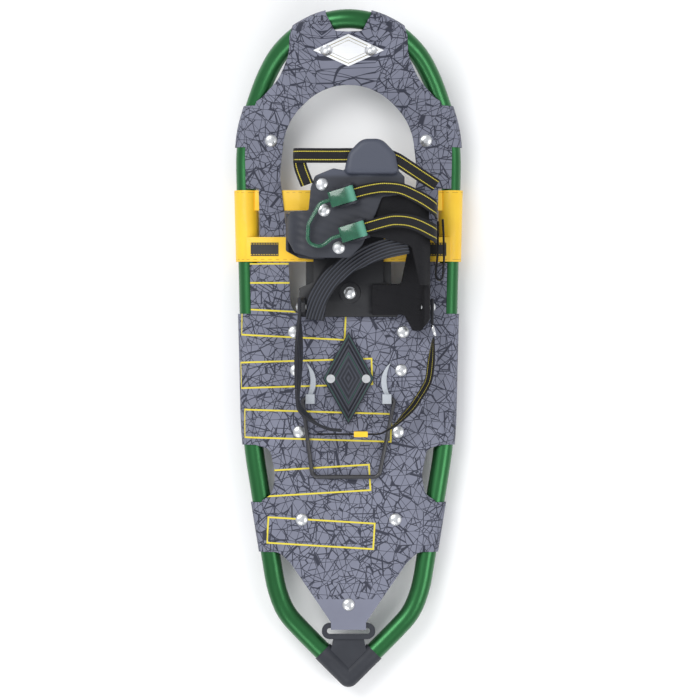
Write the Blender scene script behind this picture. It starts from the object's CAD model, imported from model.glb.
import bmesh
import bpy
import math
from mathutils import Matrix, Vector


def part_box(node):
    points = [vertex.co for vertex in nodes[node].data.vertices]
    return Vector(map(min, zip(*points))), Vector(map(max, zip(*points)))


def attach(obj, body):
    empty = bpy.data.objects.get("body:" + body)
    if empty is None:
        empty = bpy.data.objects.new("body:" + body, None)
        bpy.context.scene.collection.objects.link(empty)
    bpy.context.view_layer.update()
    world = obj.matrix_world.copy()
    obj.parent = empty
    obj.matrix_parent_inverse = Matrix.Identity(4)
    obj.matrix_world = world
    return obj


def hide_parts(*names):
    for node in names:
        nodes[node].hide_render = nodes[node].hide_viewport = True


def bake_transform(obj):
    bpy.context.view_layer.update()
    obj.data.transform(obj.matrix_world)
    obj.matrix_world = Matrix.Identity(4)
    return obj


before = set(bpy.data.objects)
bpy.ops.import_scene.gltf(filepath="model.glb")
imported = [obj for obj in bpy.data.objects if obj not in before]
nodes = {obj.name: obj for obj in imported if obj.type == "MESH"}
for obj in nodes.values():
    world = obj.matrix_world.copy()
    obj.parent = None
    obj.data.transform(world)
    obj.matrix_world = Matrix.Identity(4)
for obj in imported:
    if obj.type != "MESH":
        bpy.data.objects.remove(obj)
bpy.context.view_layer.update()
MM = 0.001


# ---------------------------------------------------------------- camera, floor and studio light
# The shoe lies on a plain pale floor and is seen from straight above, from far enough away that
# nothing leans. Two broad lamps overhead and an even surround leave only soft shadows.

view_height = 3.6
view_wide = 0.6573
view_aside = 0.0014
deck_height = 0.035
lens_data = bpy.data.cameras.new("overhead_camera")
lens_data.sensor_width = 36
lens_data.lens = lens_data.sensor_width * (view_height - deck_height) / view_wide
lens_data.clip_end = 20
camera = bpy.data.objects.new("overhead_camera", lens_data)
camera.location = (view_aside, 0, view_height)
bpy.context.scene.collection.objects.link(camera)
bpy.context.scene.camera = camera

for name, spot, wide, power in (("lamp_high", (-0.9, 0.9, 1.9), 1.3, 24),
                                ("lamp_right", (1.3, -0.4, 1.5), 1.0, 10),
                                ("lamp_low", (-0.5, -1.3, 1.2), 1.0, 8)):
    lamp_data = bpy.data.lights.new(name, "AREA")
    lamp_data.shape = "DISK"
    lamp_data.size = wide
    lamp_data.energy = power
    lamp = bpy.data.objects.new(name, lamp_data)
    lamp.location = spot
    lamp.rotation_euler = (-Vector(spot)).to_track_quat("-Z", "Y").to_euler()
    bpy.context.scene.collection.objects.link(lamp)

surround = bpy.data.worlds.new("surround")
surround.use_nodes = True
surround.node_tree.nodes["Background"].inputs["Color"].default_value = (0.95, 0.97, 1, 1)
surround.node_tree.nodes["Background"].inputs["Strength"].default_value = 0.7
bpy.context.scene.world = surround
bpy.context.scene.view_settings.view_transform = "Standard"


class Value:
    """A shader socket that adds Math nodes when it is reckoned with like a number."""

    def __init__(self, finish, socket):
        self.finish = finish
        self.socket = socket

    def math(self, operation, *values):
        return self.finish.node("ShaderNodeMath", {"operation": operation}, dict(enumerate(values)))

    def __add__(self, other):
        return self.math("ADD", self, other)

    def __radd__(self, other):
        return self.math("ADD", other, self)

    def __sub__(self, other):
        return self.math("SUBTRACT", self, other)

    def __rsub__(self, other):
        return self.math("SUBTRACT", other, self)

    def __mul__(self, other):
        return self.math("MULTIPLY", self, other)

    def __rmul__(self, other):
        return self.math("MULTIPLY", other, self)

    def __truediv__(self, other):
        return self.math("DIVIDE", self, other)

    def __abs__(self):
        return self.math("ABSOLUTE", self)

    def wave(self):
        return self.math("SINE", self)

    def below(self, edge):
        return self.math("LESS_THAN", self, edge)

    def above(self, edge):
        return self.math("GREATER_THAN", self, edge)

    def most(self, other):
        return self.math("MAXIMUM", self, other)

    def least(self, other):
        return self.math("MINIMUM", self, other)

    def step(self, start, end):
        """0 before start, 1 after end, and a smooth rise between."""
        return self.finish.node("ShaderNodeMapRange", {"interpolation_type": "SMOOTHSTEP"},
                                {0: self, 1: start, 2: end})


class Finish:
    """A material on the plain shader; constants go straight onto the shader's own sockets."""

    def __init__(self, name, colour, **constants):
        self.material = bpy.data.materials.new(name)
        self.material.use_nodes = True
        self.tree = self.material.node_tree
        self.shader = self.tree.nodes["Principled BSDF"]
        self.shader.inputs["Base Color"].default_value = (*colour, 1)
        self.material.diffuse_color = (*colour, 1)
        for key, amount in constants.items():
            socket = key.replace("_", " ").title().replace("Ior", "IOR")
            self.shader.inputs[socket].default_value = amount

    def node(self, kind, settings=None, sockets=None, output=0):
        """Adds one node: its settings first, then the values or links of its sockets."""
        node = self.tree.nodes.new(kind)
        for key, setting in (settings or {}).items():
            setattr(node, key, setting)
        for key, amount in (sockets or {}).items():
            if isinstance(amount, Value):
                self.tree.links.new(amount.socket, node.inputs[key])
            elif isinstance(amount, tuple) and len(amount) == 3 and node.inputs[key].type == "RGBA":
                node.inputs[key].default_value = (*amount, 1)
            else:
                node.inputs[key].default_value = amount
        return Value(self, node.outputs[output])

    def place(self, stretch=(1, 1, 1), turn=0):
        """The point on the object, with a pattern's own stretch and turn."""
        spot = self.node("ShaderNodeTexCoord", output="Object")
        return self.node("ShaderNodeMapping", None,
                         {"Vector": spot, "Scale": stretch, "Rotation": (0, 0, turn)})

    def parts(self, vector):
        """A vector's X, Y and Z."""
        split = self.node("ShaderNodeSeparateXYZ", None, {0: vector})
        return split, Value(self, split.socket.node.outputs[1]), Value(self, split.socket.node.outputs[2])

    def noise(self, scale, detail=3, vector=None, roughness=0.5):
        return self.node("ShaderNodeTexNoise", None, {"Vector": vector or self.place(), "Scale": scale,
                                                      "Detail": detail, "Roughness": roughness})

    def mix(self, factor, first, second):
        return self.node("ShaderNodeMix", {"data_type": "RGBA"}, {0: factor, 6: first, 7: second}, 2)

    def feed(self, socket, value):
        self.tree.links.new(value.socket, self.shader.inputs[socket])

    def relief(self, height, depth, strength=1):
        self.feed("Normal", self.node("ShaderNodeBump", None, {"Height": height, "Distance": depth,
                                                               "Strength": strength}))


def finish_nodes(finish, *names):
    """Gives CAD nodes a better material."""
    for node_name in names:
        mesh = nodes[node_name].data
        mesh.materials.clear()
        mesh.materials.append(finish.material)


paper = Finish("pale_floor", (0.92, 0.92, 0.92), roughness=0.9)
paper.feed("Base Color", paper.mix(paper.noise(3), (0.9, 0.9, 0.9), (0.95, 0.95, 0.95)))
ground = bmesh.new()
bmesh.ops.create_grid(ground, x_segments=1, y_segments=1, size=6)
floor_mesh = bpy.data.meshes.new("studio_floor")
ground.to_mesh(floor_mesh)
floor = bpy.data.objects.new("studio_floor", floor_mesh)
floor.data.materials.append(paper.material)
bpy.context.scene.collection.objects.link(floor)


# ---------------------------------------------------------------- frame tube
# Round aluminium tube, 18 mm thick, bent to a round nose that turns up and a V tail.
# It is brushed along its length and anodised a clear metallic green.

anodised = Finish("anodised_green", (0.03, 0.2, 0.06), metallic=0.88, roughness=0.3, coat_weight=0.3,
                  coat_roughness=0.25)
drawn = anodised.noise(900, 2, anodised.place((1, 0.03, 1)))
cloudy = anodised.noise(9, 3)
anodised.feed("Base Color", anodised.mix(cloudy, (0.012, 0.095, 0.024), (0.03, 0.17, 0.052)))
anodised.feed("Roughness", 0.26 + 0.2 * drawn)
anodised.relief(drawn, 0.00003, 0.5)
finish_nodes(anodised, "frame_tube")


# ---------------------------------------------------------------- tail coupler
# Moulded nylon shoe that both tube ends are pushed into, with a slot between it and the bar
# that the deck's tab loops over. The mould leaves a fine matte grain.

def new_piece(name, mesh_work, finish, body, replaced=(), smooth=35):
    """Makes a worked mesh a piece that rides on a body."""
    mesh = bpy.data.meshes.new(name)
    mesh_work.to_mesh(mesh)
    mesh_work.free()
    mesh.materials.clear()
    mesh.materials.append(finish.material)
    piece = bpy.data.objects.new(name, mesh)
    bpy.context.scene.collection.objects.link(piece)
    mesh.shade_smooth()
    if smooth:
        mesh.set_sharp_from_angle(angle=math.radians(smooth))
    if body:
        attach(piece, body)
    if replaced:
        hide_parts(*replaced)
    return piece


def copy_of(*names):
    """The CAD nodes' meshes as one worked mesh with its doubles merged."""
    work = bmesh.new()
    for node_name in names:
        work.from_mesh(nodes[node_name].data)
    bmesh.ops.remove_doubles(work, verts=work.verts[:], dist=1e-6)
    return work


def softened(names, width, angle=25):
    """A CAD piece's form with its flat faces made whole and its edges rounded."""
    work = copy_of(*names)
    bmesh.ops.dissolve_limit(work, angle_limit=math.radians(0.6), verts=work.verts[:],
                             edges=work.edges[:])
    sharp = [edge for edge in work.edges if len(edge.link_faces) == 2
             and edge.calc_face_angle(0) > math.radians(angle) and edge.calc_length() > width]
    bmesh.ops.bevel(work, geom=sharp, offset=width, offset_type="OFFSET", affect="EDGES", segments=2,
                    profile=0.5, material=-1, clamp_overlap=True)
    return work


nylon = Finish("grained_nylon", (0.02, 0.022, 0.028), roughness=0.5, specular_ior_level=0.35)
grain = nylon.noise(2600, 3)
nylon.feed("Base Color", nylon.mix(nylon.noise(60, 4), (0.014, 0.016, 0.022), (0.034, 0.037, 0.047)))
nylon.feed("Roughness", 0.4 + 0.25 * grain)
nylon.relief(grain, 0.00012, 0.7)
new_piece("moulded_coupler", softened(["tail_coupler"], 0.0007), nylon, "frame", ["tail_coupler"],
          30)


# ---------------------------------------------------------------- deck
# One sheet of coated nylon cloth, stretched over the frame: its lobes wrap the tube and its tail
# tab wraps the coupler's bar. It carries a random line print and plain outlined bars.

def cut_fine(sheet_mesh, axis, low, high, pitch):
    """Cuts a mesh across at even steps, so that it can bend between them."""
    count = int((high - low) / pitch)
    for index in range(1, count):
        spot = Vector((0, 0, 0))
        way = Vector((0, 0, 0))
        spot[axis] = low + index * pitch
        way[axis] = 1
        everything = sheet_mesh.verts[:] + sheet_mesh.edges[:] + sheet_mesh.faces[:]
        bmesh.ops.bisect_plane(sheet_mesh, geom=everything, dist=1e-6, plane_co=spot, plane_no=way)


coated = Finish("printed_cloth", (0.18, 0.19, 0.25), roughness=0.62, specular_ior_level=0.3)
across, along, up = coated.parts(coated.place())

# The print is laid out flat, so it runs on round the tube where a lobe wraps it.
deck_top = 0.0348
laid_out = across + (across * 40).least(1).most(-1) * (deck_top - up)
laid_spot = coated.node("ShaderNodeCombineXYZ", None, {0: laid_out, 1: along})


def crackle(turn, scale, width, stretch):
    """Thin straight lines between random long cells, all leaning one way."""
    turned = coated.node("ShaderNodeMapping", None, {"Vector": laid_spot, "Rotation": (0, 0, turn)})
    spot = coated.node("ShaderNodeMapping", None, {"Vector": turned, "Scale": (1, stretch, 1)})
    cells = coated.node("ShaderNodeTexVoronoi", {"feature": "DISTANCE_TO_EDGE"},
                        {"Vector": spot, "Scale": scale})
    return 1 - cells.step(width * 0.5, width)


lines = crackle(0.5, 120, 0.032, 0.38).most(crackle(1.6, 110, 0.03, 0.34))
lines = lines.most(crackle(2.6, 125, 0.032, 0.4))
plain_tail = along.below(-0.234)
lines = lines * (1 - plain_tail)
weave = (across * 5200).wave() * (along * 5200).wave()
ground_tone = coated.mix(coated.noise(22, 4), (0.15, 0.157, 0.205), (0.215, 0.225, 0.29))
print_tone = coated.mix(lines * 0.9, ground_tone, (0.012, 0.014, 0.028))


def outlined_bar(centre, half, turn, width=0.0008):
    """The outline of one long bar, as a mask."""
    east = (laid_out - centre[0]) * math.cos(turn) + (along - centre[1]) * math.sin(turn)
    north = (along - centre[1]) * math.cos(turn) - (laid_out - centre[0]) * math.sin(turn)
    return abs((abs(east) - half[0]).most(abs(north) - half[1])).below(width)


bars = None
for centre, half, turn in (((-0.078, 0.072), (0.026, 0.009), 0),
                           ((-0.053, 0.024), (0.05, 0.012), -0.05),
                           ((-0.042, -0.022), (0.064, 0.012), 0.03),
                           ((-0.03, -0.071), (0.07, 0.013), -0.03),
                           ((-0.036, -0.123), (0.056, 0.012), 0.06),
                           ((-0.026, -0.172), (0.05, 0.012), -0.06)):
    mask = outlined_bar(centre, half, turn)
    bars = mask if bars is None else bars.most(mask)
coated.feed("Base Color", coated.mix(bars, print_tone, (0.72, 0.6, 0.06)))
coated.feed("Roughness", 0.55 + 0.2 * coated.noise(300) - 0.1 * lines)
coated.relief(weave * 0.5 + lines * 0.4 + bars * 0.8, 0.00016, 0.8)

deck_work = copy_of("deck")
deck_low, deck_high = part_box("deck")
for axis in (1, 0):
    cut_fine(deck_work, axis, deck_low[axis], deck_high[axis], 0.012)
deck = new_piece("deck_cloth", deck_work, coated, "frame", ["deck"], 40)


# ---------------------------------------------------------------- nose plate and rivets
# A thin satin aluminium lozenge held by two of the domed steel rivets that fix every lobe of the
# deck. The plate is bare but for two engraved border lines.

satin = Finish("satin_aluminium", (0.78, 0.79, 0.8), metallic=0.55, roughness=0.36)
plate_x, plate_y, _ = satin.parts(satin.place())
plate_low, plate_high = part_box("nose_plate")
plate_mid = 0.5 * (plate_low[1] + plate_high[1])
plate_half = 0.5 * (plate_high[0] - plate_low[0])
plate_deep = 0.5 * (plate_high[1] - plate_low[1])
lozenge = abs(plate_x) / plate_half + abs(plate_y - plate_mid) / plate_deep
border = abs(lozenge - 0.82).below(0.022).most(abs(lozenge - 0.62).below(0.012))
brushed = satin.noise(1500, 2, satin.place((0.04, 1, 1)))
plate_tone = satin.mix(brushed, (0.7, 0.71, 0.73), (0.86, 0.87, 0.89))
satin.feed("Base Color", satin.mix(border, plate_tone, (0.28, 0.24, 0.1)))
satin.feed("Roughness", 0.28 + 0.2 * brushed)
satin.relief(brushed * 0.3 - border, 0.00012, 0.8)
finish_nodes(satin, "nose_plate")

stainless = Finish("stainless_rivets", (0.62, 0.63, 0.65), metallic=0.95, roughness=0.3)
scratched = stainless.noise(1300, 4, stainless.place((1, 0.15, 1), 0.6))
stainless.feed("Base Color", stainless.mix(stainless.noise(240, 3), (0.5, 0.51, 0.53), (0.78, 0.79, 0.8)))
stainless.feed("Roughness", 0.2 + 0.28 * scratched)
stainless.relief(scratched, 0.00004, 0.6)
finish_nodes(stainless, "nose_rivets", "deck_rivets", "rail_rivets", "heel_pad_screws", "wing_rivets",
             "base_rivet_set", "heel_pins", "buckle_pins")


# ---------------------------------------------------------------- traction rails and crampon
# Stamped steel with saw teeth that bite the snow, powder coated black. The coat is worn to bare
# bright metal at the tips of the teeth.

powder = Finish("powder_coated_steel", (0.03, 0.03, 0.033), metallic=0.3, roughness=0.5)
_, _, rail_z = powder.parts(powder.place())
worn = 1 - (rail_z + 0.004 * powder.noise(400, 4)).step(0.003, 0.0075)
peel = powder.noise(1400, 2)
coat_tone = powder.mix(peel, (0.02, 0.021, 0.023), (0.05, 0.051, 0.055))
powder.feed("Base Color", powder.mix(worn, coat_tone, (0.5, 0.5, 0.5)))
powder.feed("Metallic", 0.25 + 0.7 * worn)
powder.feed("Roughness", 0.36 + 0.2 * peel)
powder.relief(peel, 0.00008, 0.6)
finish_nodes(powder, "side_rail_left", "side_rail_right", "toe_crampon")


# ---------------------------------------------------------------- heel pad and lift
# A moulded lozenge pad under the heel with plain nested ribs, two pale clips, and a black coated
# wire bail that folds up in them to carry the heel on a steep climb.

pad_rubber = Finish("ribbed_pad", (0.03, 0.033, 0.045), roughness=0.55, specular_ior_level=0.35)
pad_x, pad_y, _ = pad_rubber.parts(pad_rubber.place())
pad_low, pad_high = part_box("heel_pad")
pad_mid = 0.5 * (pad_low[1] + pad_high[1])
pad_half = 0.5 * (pad_high[0] - pad_low[0])
pad_deep = 0.5 * (pad_high[1] - pad_low[1])
ring_count = abs(pad_x) / pad_half + abs(pad_y - pad_mid) / pad_deep
ribs = (ring_count * 42).wave()
frame_line = abs(ring_count - 0.55).below(0.02).most(abs(ring_count - 0.93).below(0.018))
pad_grain = pad_rubber.noise(1800, 3)
rib_tone = pad_rubber.mix(ribs.step(-0.2, 0.6), (0.014, 0.016, 0.024), (0.04, 0.044, 0.06))
pad_rubber.feed("Base Color", pad_rubber.mix(frame_line, rib_tone, (0.02, 0.07, 0.055)))
pad_rubber.feed("Roughness", 0.45 + 0.25 * pad_grain)
pad_rubber.relief(ribs * 0.5 + pad_grain * 0.15, 0.0005, 0.8)
new_piece("ribbed_heel_pad", softened(["heel_pad"], 0.0004), pad_rubber, "frame", ["heel_pad"],
          30)

clip_resin = Finish("pale_clip_resin", (0.4, 0.43, 0.47), roughness=0.42)
clip_grain = clip_resin.noise(900, 3)
clip_resin.feed("Base Color", clip_resin.mix(clip_grain, (0.33, 0.36, 0.4), (0.5, 0.53, 0.57)))
clip_resin.feed("Roughness", 0.35 + 0.2 * clip_grain)
clip_resin.relief(clip_grain, 0.00008, 0.6)
for side in ("left", "right"):
    name = f"lift_clip_{side}"
    new_piece(f"pale_clip_{side}", softened([name], 0.0005), clip_resin, "frame", [name], 30)

wire_coat = Finish("black_wire_coat", (0.02, 0.02, 0.024), roughness=0.35, coat_weight=0.3)
wire_grain = wire_coat.noise(700, 3)
wire_coat.feed("Base Color", wire_coat.mix(wire_grain, (0.014, 0.014, 0.017), (0.04, 0.04, 0.046)))
wire_coat.feed("Roughness", 0.26 + 0.25 * wire_grain)
wire_coat.relief(wire_grain, 0.00005, 0.5)
finish_nodes(wire_coat, "heel_lift_bail")


# ---------------------------------------------------------------- suspension straps
# Yellow urethane-coated webbing that wraps the tube in a sleeve each side and carries the
# binding: one arm over the deck and one under it. Black patches are sewn on the rear arms.

urethane = Finish("yellow_urethane", (0.9, 0.55, 0.02), roughness=0.42, coat_weight=0.12)
strap_x, strap_y, strap_z = urethane.parts(urethane.place())
cloth_rows = (strap_y * 6200).wave() * ((strap_x + strap_z) * 6200).wave()
sleeve_mid = 0.1165
sleeve_half = 0.0315
edge_rows = abs(abs(strap_y - sleeve_mid) - sleeve_half).below(0.0004)
edge_rows = edge_rows * abs((strap_x + strap_z) * 900).wave().above(0)
yellow_tone = urethane.mix(urethane.noise(26, 4), (0.86, 0.47, 0.012), (0.98, 0.66, 0.03))
urethane.feed("Base Color", urethane.mix(edge_rows * 0.7, yellow_tone, (0.55, 0.28, 0.01)))
urethane.feed("Roughness", 0.38 + 0.2 * urethane.noise(500))
urethane.relief(cloth_rows * 0.6 + edge_rows, 0.00012, 0.6)
for side, way in (("left", -1), ("right", 1)):
    name = f"suspension_strap_{side}"
    strap = new_piece(f"urethane_strap_{side}", softened([name], 0.0004), urethane, None, [name],
                      30)
    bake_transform(strap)

patch = Finish("sewn_black_patch", (0.02, 0.02, 0.022), roughness=0.6)
patch_x, patch_y, _ = patch.parts(patch.place())
patch_low, patch_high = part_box("strap_labels")
patch_mid = 0.5 * (patch_low[1] + patch_high[1])
patch_half = 0.5 * (patch_high[1] - patch_low[1])
stitch = abs(abs(patch_y - patch_mid) - 0.8 * patch_half).below(0.00045)
stitch = stitch * (patch_x * 2600).wave().above(-0.2)
patch_tone = patch.mix(patch.noise(500), (0.012, 0.012, 0.014), (0.035, 0.035, 0.038))
patch.feed("Base Color", patch.mix(stitch, patch_tone, (0.62, 0.42, 0.03)))
patch.feed("Roughness", 0.5 + 0.2 * patch.noise(900))
patch.relief(stitch + 0.3 * patch.noise(1500), 0.0002, 0.8)
finish_nodes(patch, "strap_labels")


# ---------------------------------------------------------------- binding base and wings
# A stiff black moulded base rides on the straps. Rubbery wings rise from it and fold over the
# foot: the left one ends in the domed toe cap, and the right one is padded and woven.

black_mould = Finish("black_moulding", (0.01, 0.01, 0.012), roughness=0.4, specular_ior_level=0.4)
mould_grain = black_mould.noise(2200, 3)
black_mould.feed("Base Color", black_mould.mix(black_mould.noise(50, 4), (0.005, 0.005, 0.007),
                                               (0.018, 0.019, 0.023)))
black_mould.feed("Roughness", 0.34 + 0.24 * mould_grain)
black_mould.relief(mould_grain, 0.0001, 0.7)
new_piece("moulded_base", softened(["binding_base"], 0.0006), black_mould, "binding", ["binding_base"],
          30)


def moulded(names, voxel, rounds):
    """A CAD piece's form remade in one even skin, with its edges worn soft."""
    rough = bpy.data.meshes.new("moulding")
    work = copy_of(*names)
    work.to_mesh(rough)
    work.free()
    form = bpy.data.objects.new("moulding", rough)
    bpy.context.scene.collection.objects.link(form)
    skin = form.modifiers.new("skin", "REMESH")
    skin.mode = "VOXEL"
    skin.voxel_size = voxel
    bpy.context.view_layer.update()
    made = bpy.data.meshes.new_from_object(form.evaluated_get(bpy.context.evaluated_depsgraph_get()))
    bpy.data.objects.remove(form)
    work = bmesh.new()
    work.from_mesh(made)
    for _ in range(rounds):
        bmesh.ops.smooth_vert(work, verts=work.verts[:], factor=0.5, use_axis_x=True, use_axis_y=True,
                              use_axis_z=True)
    return work


slate = Finish("slate_urethane", (0.03, 0.033, 0.043), roughness=0.45, specular_ior_level=0.45)
wing_x, wing_y, wing_z = slate.parts(slate.place())
cap_share = wing_y.step(0.158, 0.1635) * wing_z.above(0.088)
ridges = ((wing_x * 0.35 + wing_y) * 900).wave() * (1 - cap_share) * wing_y.below(0.15)
slate_grain = slate.noise(2000, 3)
wing_tone = slate.mix(slate.noise(45, 4), (0.012, 0.013, 0.019), (0.032, 0.036, 0.05))
cap_tone = slate.mix(slate_grain, (0.045, 0.051, 0.075), (0.068, 0.076, 0.105))
slate.feed("Base Color", slate.mix(cap_share, wing_tone, cap_tone))
slate.feed("Roughness", 0.38 + 0.25 * slate_grain)
slate.relief(slate_grain * 0.25 + ridges * 0.5, 0.0003, 0.6)
new_piece("left_wing_skin", moulded(["left_wing"], 0.0009, 2), slate, "binding", ["left_wing"],
          0)

ballistic = Finish("black_ballistic_weave", (0.009, 0.009, 0.011), roughness=0.7, specular_ior_level=0.25)
knit_x, knit_y, knit_z = ballistic.parts(ballistic.place())
weft = (knit_x * 4200).wave() * ((knit_y + knit_z) * 4200).wave()
quilt = abs((knit_x * 0.25 + knit_y) * 420).wave().above(0.985)
ballistic.feed("Base Color", ballistic.mix(weft.step(-0.4, 0.8), (0.004, 0.004, 0.005),
                                           (0.019, 0.019, 0.023)))
ballistic.feed("Roughness", 0.7 + 0.15 * ballistic.noise(300))
ballistic.relief(weft * 0.6 - quilt, 0.0003, 0.9)
padded_wing = new_piece("right_wing_pad", moulded(["right_wing"], 0.0011, 4), ballistic, "binding",
                        ["right_wing"], 0)


# ---------------------------------------------------------------- webbing straps
# Tight woven nylon webbing, 1.6 mm thick, black with two thin yellow stripes. It runs from the
# cam buckles over the instep to the right, and a toe strap runs through the cap.

def band(name, points, thick, finish, body, replaced, step=2, rows=8, crown=0.25):
    """Webbing through points in millimetres: place, direction across, and width."""
    ends = [points[0]] + points + [points[-1]]
    line = []
    for quad in zip(ends, ends[1:], ends[2:], ends[3:]):
        before, start, end, after = (Vector(point) for point in quad)
        pieces = max(2, int(Vector((end - start)[:3]).length / step))
        for index in range(pieces):
            t = index / pieces
            line.append(0.5 * (2 * start + (end - before) * t
                               + (2 * before - 5 * start + 4 * end - after) * t * t
                               + (3 * start - before - 3 * end + after) * t ** 3))
    line.append(Vector(points[-1]))
    places = [Vector(spot[:3]) for spot in line]
    lengths = [0]
    for first, second in zip(places, places[1:]):
        lengths.append(lengths[-1] + (second - first).length)
    work = bmesh.new()
    bmesh.ops.create_grid(work, x_segments=rows, y_segments=len(line) - 1, size=0.5)
    marks = {}
    for vert in work.verts:
        index = round((vert.co.y + 0.5) * (len(line) - 1))
        share = vert.co.x
        across_way = Vector(line[index][3:6]).normalized()
        ahead = places[min(index + 1, len(places) - 1)] - places[max(index - 1, 0)]
        face = ahead.cross(across_way).normalized()
        bow = crown * (1 - (2 * share) ** 2)
        marks[vert] = (share * line[index][6] * MM, lengths[index] * MM)
        vert.co = (places[index] + across_way * share * line[index][6] + face * bow) * MM
    cloth = work.loops.layers.uv.new("run")
    for corner in (loop for cell in work.faces for loop in cell.loops):
        corner[cloth].uv = marks[corner.vert]
    piece = new_piece(name, work, finish, body, replaced, 0)
    wall = piece.modifiers.new("wall", "SOLIDIFY")
    wall.thickness = thick * MM
    wall.offset = 0
    edge = piece.modifiers.new("edge", "BEVEL")
    edge.width = min(0.35, thick * 0.3) * MM
    edge.segments = 2
    edge.limit_method = "ANGLE"
    edge.angle_limit = math.radians(50)
    return piece


def woven(name, colour, light, stripe, stripe_place, ends=()):
    """Webbing whose ribs and stripes follow its own run."""
    made = Finish(name, colour, roughness=0.66, specular_ior_level=0.25)
    run = made.node("ShaderNodeUVMap", {"uv_map": "run"})
    side_way, run_way, _ = made.parts(run)
    cords = (run_way * 5400 + (side_way * 2600).wave() * 1.6).wave()
    warp = (side_way * 7800).wave()
    striped = abs(abs(side_way) - stripe_place).below(0.00042)
    broken = striped * (run_way * 3600).wave().above(-0.75)
    made.feed("Base Color", made.mix(broken, made.mix(cords.step(-0.5, 0.9), colour, light), stripe))
    made.feed("Roughness", 0.6 + 0.15 * warp)
    made.relief(cords * 0.6 + warp * 0.3 + striped * 0.5, 0.00022, 0.9)
    return made


webbing = woven("black_webbing", (0.004, 0.004, 0.005), (0.02, 0.02, 0.024), (0.62, 0.52, 0.06),
                0.0038)
band("webbing_front", [(-7, 141.2, 97.1, -0.27, 0.96, 0, 12.2), (4, 144.2, 97.1, -0.27, 0.96, 0, 12.2),
                       (14, 146.9, 97.3, -0.22, 0.98, 0, 12), (24, 148.8, 100.2, -0.12, 0.99, 0, 11.6),
                       (34, 149.6, 103, -0.03, 1, 0, 11.4), (48, 148.2, 102.2, 0.22, 0.97, 0, 11.6),
                       (60, 143.4, 100.2, 0.45, 0.88, 0, 12), (70, 138.2, 97.6, 0.48, 0.87, 0, 12.4),
                       (77, 133.6, 94.2, 0.38, 0.92, 0, 13), (80.4, 130.8, 89, 0.12, 0.99, 0, 14),
                       (81, 129.6, 80, 0, 1, 0, 14.4), (81.5, 129.4, 56, 0, 1, 0, 14.4)],
     1.6, webbing, "binding", ["strap_front"])
band("webbing_rear", [(3, 109.1, 97.1, -0.28, 0.96, 0, 12), (12, 111.8, 97.1, -0.28, 0.96, 0, 12),
                      (22, 114.8, 97.5, -0.26, 0.97, 0, 11.8), (32, 117.5, 99.7, -0.2, 0.98, 0, 12),
                      (42, 119.4, 101.1, -0.02, 1, 0, 12.6), (54, 118.8, 99.7, 0.18, 0.98, 0, 13),
                      (64, 116, 97.6, 0.4, 0.92, 0, 13.6), (72, 112.4, 95, 0.45, 0.89, 0, 14.4),
                      (77.5, 109.4, 92, 0.3, 0.95, 0, 15.2), (80.4, 107.6, 87, 0.1, 0.99, 0, 16),
                      (81, 106.8, 78, 0, 1, 0, 16.4), (81.5, 106.6, 56, 0, 1, 0, 16.4)],
     1.6, webbing, "binding", ["strap_rear"])
bight = ((83.4, 120), (83.4, 105), (83.4, 92), (82.4, 80), (81.6, 71), (82.4, 66.8), (85, 65.5),
         (87.4, 67.4), (88.3, 74), (89.1, 88), (88.7, 106), (87.9, 122))
band("webbing_tails", [(*place, 55, 0, 0, 1, 16.4) for place in bight],
     1.6, webbing, "binding", ["strap_tails"])
band("toe_webbing", [(-50.4, 179.5, 82, 0, 1, 0, 13.6), (-50.3, 179.5, 89, 0, 1, 0, 13.6),
                     (-49.6, 179.5, 94.6, 0, 1, 0, 13.6), (-46.6, 179.5, 96.9, 0, 1, 0, 13.6),
                     (-38, 179.5, 97.2, 0, 1, 0, 13.6), (-16, 179.4, 97.2, 0, 1, 0, 13.6),
                     (10, 179.5, 97.2, 0, 1, 0, 13.6), (32, 179.2, 97.2, 0.04, 1, 0, 13.6),
                     (44, 175.8, 97, 0.35, 0.94, 0, 13), (56, 168.4, 96.2, 0.55, 0.84, 0, 12.6),
                     (69, 160, 92.6, 0.56, 0.83, 0, 12.4), (81.2, 152.4, 86.6, 0.56, 0.83, 0, 12)],
     1.6, webbing, "binding", ["toe_strap"])
band("toe_webbing_fold", [(-38, 152.6, 95.6, 0.94, 0.34, 0, 12.6), (-41, 160, 96.2, 0.94, 0.34, 0, 12.6),
                          (-43.6, 167, 95.9, 0.95, 0.3, 0, 12.4), (-45, 173, 94.9, 0.97, 0.22, 0, 12),
                          (-45, 181, 94.7, 1, 0.1, 0, 11)],
     1.4, webbing, "binding", [])


# ---------------------------------------------------------------- cam buckles and pull loop
# Each buckle is a black channel with a cam lever on a pin. The levers and the cord-like loop that
# joins them are moulded in a clear-tinted green resin, so one pull frees both straps.

tinted = Finish("tinted_green_resin", (0.015, 0.2, 0.1), roughness=0.16, coat_weight=0.6, coat_roughness=0.06,
                transmission_weight=0.35, ior=1.46)
resin_x, resin_y, _ = tinted.parts(tinted.place())
buckle_turn = math.radians(17)
pin_side = resin_x * math.cos(buckle_turn) + resin_y * math.sin(buckle_turn)
cam_face = pin_side.step(0.0385, 0.0445)
flow = tinted.noise(120, 4)
resin_tone = tinted.mix(flow, (0.004, 0.07, 0.035), (0.02, 0.2, 0.1))
tinted.feed("Base Color", tinted.mix(cam_face * 0.8, resin_tone, (0.16, 0.5, 0.36)))
tinted.feed("Roughness", 0.1 + 0.16 * tinted.noise(300, 3))
tinted.relief(tinted.noise(160, 3), 0.0004, 0.4)
finish_nodes(nylon, "buckle_body_front", "buckle_body_rear")
finish_nodes(tinted, "pull_loop")
for end in ("front", "rear"):
    name = f"cam_lever_{end}"
    new_piece(f"tinted_lever_{end}", softened([name], 0.0006), tinted, "release", [name], 30)


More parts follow.
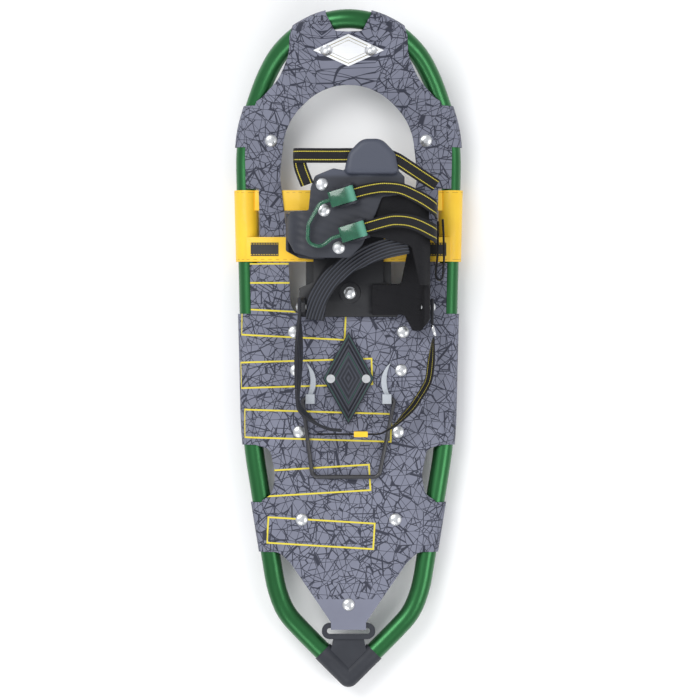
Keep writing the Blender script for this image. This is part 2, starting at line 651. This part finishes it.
# ---------------------------------------------------------------- heel strap
# A ribbed urethane strap on edge swings on two pins: its left run and the bend behind the heel.
# Webbing from a chromed wire ring on the right tightens it, and a yellow keeper holds the end.

rubber = Finish("ribbed_heel_rubber", (0.02, 0.022, 0.03), roughness=0.5, specular_ior_level=0.35)
rubber_run = rubber.node("ShaderNodeUVMap", {"uv_map": "run"})
rubber_side, rubber_along, _ = rubber.parts(rubber_run)
rubber_ribs = (rubber_side * 1900).wave()
rubber_grain = rubber.noise(1900, 3)
rubber.feed("Base Color", rubber.mix(rubber_ribs.step(-0.4, 0.8), (0.01, 0.011, 0.016),
                                     (0.036, 0.04, 0.054)))
rubber.feed("Roughness", 0.4 + 0.2 * rubber_grain)
rubber.relief(rubber_ribs * 0.7 + rubber_grain * 0.2, 0.0006, 0.8)
upright = (0, 0, 1)
band("heel_rubber_left", [(-46, 49, 56, *upright, 12.8), (-46, 32, 56, *upright, 12.8),
                          (-46, 15, 56, -0.3, 0, 0.95, 12.8), (-46.6, -10, 56, -0.45, 0, 0.89, 12.8),
                          (-47.5, -37, 56, -0.2, 0, 0.98, 12.8)],
     2.8, rubber, "heel_loop", ["heel_strap_left"], crown=0)
band("heel_rubber_rear", [(-47.5, -37.2, 56, -0.2, 0, 0.98, 12.8), (-47.5, -46, 56, -0.1, 0, 0.99, 12.8),
                          (-45.5, -54.5, 56, -0.2, -0.12, 0.97, 12.8),
                          (-39, -61.5, 56, -0.15, -0.2, 0.97, 12.8),
                          (-29.5, -69, 56, *upright, 12.8), (-19, -73.65, 56, *upright, 12.8),
                          (-10, -74.83, 56, *upright, 12.8), (-6.2, -75.32, 56, *upright, 12.8)],
     2.8, rubber, "heel_loop", ["heel_strap_rear"], crown=0)
band("heel_rubber_link", [(78, place, 56, *upright, 12.8) for place in (48, 40, 32, 24)],
     2.8, rubber, "heel_loop", ["heel_link"], crown=0)
heel_web = woven("heel_webbing_weave", (0.004, 0.004, 0.005), (0.02, 0.02, 0.024), (0.5, 0.42, 0.06),
                 0.0036)
band("heel_web_right", [(79.5, 12, 56, *upright, 11.8), (78.3, 0, 56, 0.3, 0, 0.95, 11.8),
                        (77, -12, 56, 0.5, 0, 0.87, 11.8), (75, -27, 56, 0.5, -0.1, 0.87, 11.8),
                        (71, -36, 56, 0.45, -0.25, 0.87, 11.8), (66, -44, 56, 0.4, -0.3, 0.87, 11.8)],
     1.5, heel_web, "heel_loop", ["heel_webbing_right"], crown=0)
band("heel_web_rear", [(65.9, -44.2, 56, 0.4, -0.3, 0.87, 11.8), (60, -53, 56, 0.35, -0.35, 0.87, 11.8),
                       (50, -63.9, 56, 0.2, -0.25, 0.95, 11.8), (42.6, -70.7, 56, 0.05, -0.08, 1, 11.8),
                       (34, -76.24, 56, *upright, 11.8), (28.6, -78.42, 56, *upright, 11.8),
                       (22.3, -78.6, 56, *upright, 11.8), (10, -78.6, 56, *upright, 11.8),
                       (-10, -78.6, 56, *upright, 11.8), (-30, -78.6, 56, *upright, 11.8)],
     1.5, heel_web, "heel_loop", ["heel_webbing_rear"], crown=0)

chromed = Finish("chromed_wire", (0.8, 0.8, 0.82), metallic=1.0, roughness=0.12)
chromed.feed("Roughness", 0.08 + 0.18 * chromed.noise(800, 3))
chromed.feed("Base Color", chromed.mix(chromed.noise(60), (0.72, 0.72, 0.74), (0.88, 0.88, 0.9)))
finish_nodes(chromed, "heel_wire_ring")

keeper_resin = Finish("yellow_keeper_resin", (0.9, 0.55, 0.02), roughness=0.38)
keeper_grain = keeper_resin.noise(1200, 3)
keeper_resin.feed("Base Color", keeper_resin.mix(keeper_resin.noise(120), (0.86, 0.46, 0.012),
                                                 (0.97, 0.64, 0.03)))
keeper_resin.feed("Roughness", 0.3 + 0.2 * keeper_grain)
keeper_resin.relief(keeper_grain, 0.00008, 0.6)
new_piece("yellow_keeper", softened(["strap_keeper"], 0.0005), keeper_resin, "keeper", ["strap_keeper"],
          30)

arm_rubber = Finish("ribbed_arm_rubber", (0.02, 0.022, 0.03), roughness=0.46, specular_ior_level=0.4)
arm_x, arm_y, _ = arm_rubber.parts(arm_rubber.place())
aside = arm_x - 0.062
ahead_of = arm_y - 0.004
arm_ring = arm_rubber.node("ShaderNodeMath", {"operation": "SQRT"}, {0: aside * aside + ahead_of * ahead_of})
arm_ribs = (arm_ring * 2100).wave()
arm_rubber.feed("Base Color", arm_rubber.mix(arm_ribs.step(-0.5, 0.8), (0.008, 0.009, 0.013),
                                             (0.036, 0.04, 0.054)))
arm_rubber.feed("Roughness", 0.42 + 0.2 * arm_rubber.noise(1500))
arm_rubber.relief(arm_ribs, 0.0005, 0.8)
new_piece("heel_arm_rubber", moulded(["heel_arm"], 0.0008, 2), arm_rubber, "binding", ["heel_arm"],
          0)
